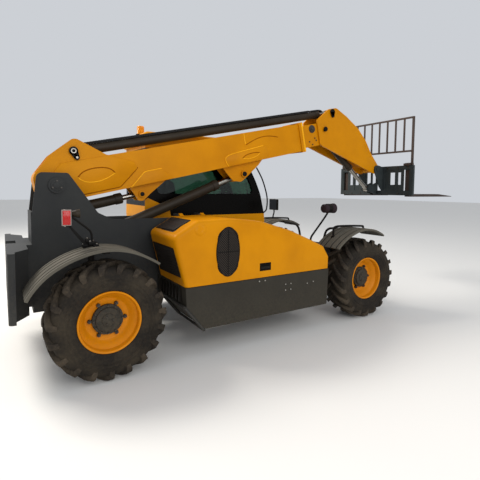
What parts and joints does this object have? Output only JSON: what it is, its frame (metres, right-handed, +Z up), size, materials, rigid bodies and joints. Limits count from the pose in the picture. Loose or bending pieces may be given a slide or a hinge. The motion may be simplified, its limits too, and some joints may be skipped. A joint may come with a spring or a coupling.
{
  "type": "telehandler",
  "caption": "Telescopic handler with forks on a two-stage boom beside a glazed cab, an engine pod and four steered wheels.",
  "frame": {"origin": "on the ground under the centre of the outer box, on the machine's middle plane", "axes": "+X forward along the boom and forks, +Y to the driver's left, +Z up"},
  "size_m": [6.95, 2.3, 3.0517],
  "materials": {
    "yellow_paint": "satin",
    "cab_yellow": "satin",
    "boom_yellow": "satin",
    "frame_grey": "satin",
    "black_paint": "satin",
    "chrome_rod": "polished",
    "glass": "clear",
    "seat_cover": "woven",
    "engine_grey": "cast",
    "amber": "clear",
    "lamp_red": "glossy",
    "tyre": "moulded",
    "rim_yellow": "satin"
  },
  "bodies": {
    "chassis": {"frame": "frame_grey", "counterweight": "frame_grey", "front_axle": "frame_grey", "rear_axle": "frame_grey", "driveline": "frame_grey", "engine_block": "engine_grey", "pod_tray": "frame_grey", "tank_box": "frame_grey", "cab_tub": "cab_yellow", "cab_frame": "black_paint", "cab_roof": "yellow_paint", "cab_glass": "glass", "seat": "seat_cover", "console": "black_paint", "fenders": "black_paint", "tail_lamps": "lamp_red", "head_lamps": "black_paint", "beacon": "amber", "mirrors": "black_paint"},
    "hood": {"hood_shell": "yellow_paint", "hood_grilles": "black_paint"},
    "door": {"door_frame": "black_paint", "door_glass": "glass"},
    "boom": {"boom_outer": "boom_yellow", "extend_barrel": "black_paint", "hose_chain": "black_paint"},
    "boom_stage": {"boom_inner": "boom_yellow", "extend_rod": "chrome_rod"},
    "carriage": {"carriage": "black_paint", "backrest": "black_paint", "forks": "black_paint"},
    "lift_barrel": {"lift_barrel": "black_paint"},
    "lift_rod": {"lift_rod": "chrome_rod"},
    "level_barrel": {"level_barrel": "black_paint"},
    "level_rod": {"level_rod": "chrome_rod"},
    "tilt_barrel": {"tilt_barrel": "black_paint"},
    "tilt_rod": {"tilt_rod": "chrome_rod"},
    "knuckle_front_left": {"knuckle_front_left": "frame_grey"},
    "wheel_front_left": {"tyre_front_left": "tyre", "rim_front_left": "rim_yellow"},
    "knuckle_front_right": {"knuckle_front_right": "frame_grey"},
    "wheel_front_right": {"tyre_front_right": "tyre", "rim_front_right": "rim_yellow"},
    "knuckle_rear_left": {"knuckle_rear_left": "frame_grey"},
    "wheel_rear_left": {"tyre_rear_left": "tyre", "rim_rear_left": "rim_yellow"},
    "knuckle_rear_right": {"knuckle_rear_right": "frame_grey"},
    "wheel_rear_right": {"tyre_rear_right": "tyre", "rim_rear_right": "rim_yellow"}
  },
  "joints": [
    {"name": "boom_lift", "type": "hinge", "parent": "chassis", "child": "boom", "pos_m": [-3.01495, 0, 1.77], "axis": [0, -1, 0], "range_deg": [-15.5, 50]},
    {"name": "boom_extend", "type": "slide", "parent": "boom", "child": "boom_stage", "axis": [0.9763, 0, 0.2164], "range_m": [0, 2]},
    {"name": "carriage_tilt", "type": "hinge", "parent": "boom_stage", "child": "carriage", "pos_m": [2.07496, 0, 2.11995], "axis": [0, 1, 0], "range_deg": [-15, 75]},
    {"name": "lift_barrel_swing", "type": "hinge", "parent": "chassis", "child": "lift_barrel", "pos_m": [-2.57495, 0, 1.186], "axis": [0, -1, 0], "range_deg": [-16.65, 50.82]},
    {"name": "lift_rod_slide", "type": "slide", "parent": "lift_barrel", "child": "lift_rod", "axis": [0.9289, 0, 0.3704], "range_m": [-0.2026, 0.6185]},
    {"name": "level_barrel_swing", "type": "hinge", "parent": "chassis", "child": "level_barrel", "pos_m": [-2.87495, 0, 1.5], "axis": [0, -1, 0], "range_deg": [-16.59, 50.65]},
    {"name": "level_rod_slide", "type": "slide", "parent": "level_barrel", "child": "level_rod", "axis": [0.9755, 0, 0.2199], "range_m": [-0.0843, 0.2574]},
    {"name": "tilt_barrel_swing", "type": "hinge", "parent": "boom_stage", "child": "tilt_barrel", "pos_m": [0.82475, 0, 2.70011], "axis": [0, 1, 0], "range_deg": [-0.0454, 0.2074]},
    {"name": "tilt_rod_slide", "type": "slide", "parent": "tilt_barrel", "child": "tilt_rod", "axis": [0.796, 0, -0.6053], "range_m": [-0.4161, 0.091]},
    {"name": "hood_open", "type": "hinge", "parent": "chassis", "child": "hood", "pos_m": [-1.09495, -0.375, 1.44], "axis": [-1, 0, 0], "range_deg": [0, 60]},
    {"name": "door_open", "type": "hinge", "parent": "chassis", "child": "door", "pos_m": [-1.33895, 1.101, 1.6], "axis": [0, 0, 1], "range_deg": [0, 80]},
    {"name": "steer_front_left", "type": "hinge", "parent": "chassis", "child": "knuckle_front_left", "pos_m": [0.74505, 0.72, 0.5375], "axis": [0, 0, 1], "range_deg": [-35, 35]},
    {"name": "steer_front_right", "type": "hinge", "parent": "chassis", "child": "knuckle_front_right", "pos_m": [0.74505, -0.72, 0.5375], "axis": [0, 0, 1], "range_deg": [-35, 35]},
    {"name": "spin_front_left", "type": "hinge", "parent": "knuckle_front_left", "child": "wheel_front_left", "pos_m": [0.74505, 0.95, 0.5375], "axis": [0, 1, 0], "continuous": true},
    {"name": "spin_front_right", "type": "hinge", "parent": "knuckle_front_right", "child": "wheel_front_right", "pos_m": [0.74505, -0.95, 0.5375], "axis": [0, 1, 0], "continuous": true},
    {"name": "steer_rear_left", "type": "hinge", "parent": "chassis", "child": "knuckle_rear_left", "pos_m": [-2.69495, 0.72, 0.5375], "axis": [0, 0, 1], "range_deg": [-35, 35]},
    {"name": "steer_rear_right", "type": "hinge", "parent": "chassis", "child": "knuckle_rear_right", "pos_m": [-2.69495, -0.72, 0.5375], "axis": [0, 0, 1], "range_deg": [-35, 35]},
    {"name": "spin_rear_left", "type": "hinge", "parent": "knuckle_rear_left", "child": "wheel_rear_left", "pos_m": [-2.69495, 0.95, 0.5375], "axis": [0, 1, 0], "continuous": true},
    {"name": "spin_rear_right", "type": "hinge", "parent": "knuckle_rear_right", "child": "wheel_rear_right", "pos_m": [-2.69495, -0.95, 0.5375], "axis": [0, 1, 0], "continuous": true}
  ],
  "couplings": [
    {"joint": "lift_barrel_swing", "follows": "boom_lift", "ratio": 0.9904},
    {"joint": "lift_rod_slide", "follows": "boom_lift", "m_per_rad": 0.6906},
    {"joint": "level_barrel_swing", "follows": "boom_lift", "ratio": 0.9871},
    {"joint": "level_rod_slide", "follows": "boom_lift", "m_per_rad": 0.2874},
    {"joint": "tilt_barrel_swing", "follows": "carriage_tilt", "ratio": 0.0027},
    {"joint": "tilt_rod_slide", "follows": "carriage_tilt", "m_per_rad": -0.3104},
    {"joint": "steer_front_right", "follows": "steer_front_left", "ratio": 1},
    {"joint": "steer_rear_right", "follows": "steer_rear_left", "ratio": 1}
  ]
}
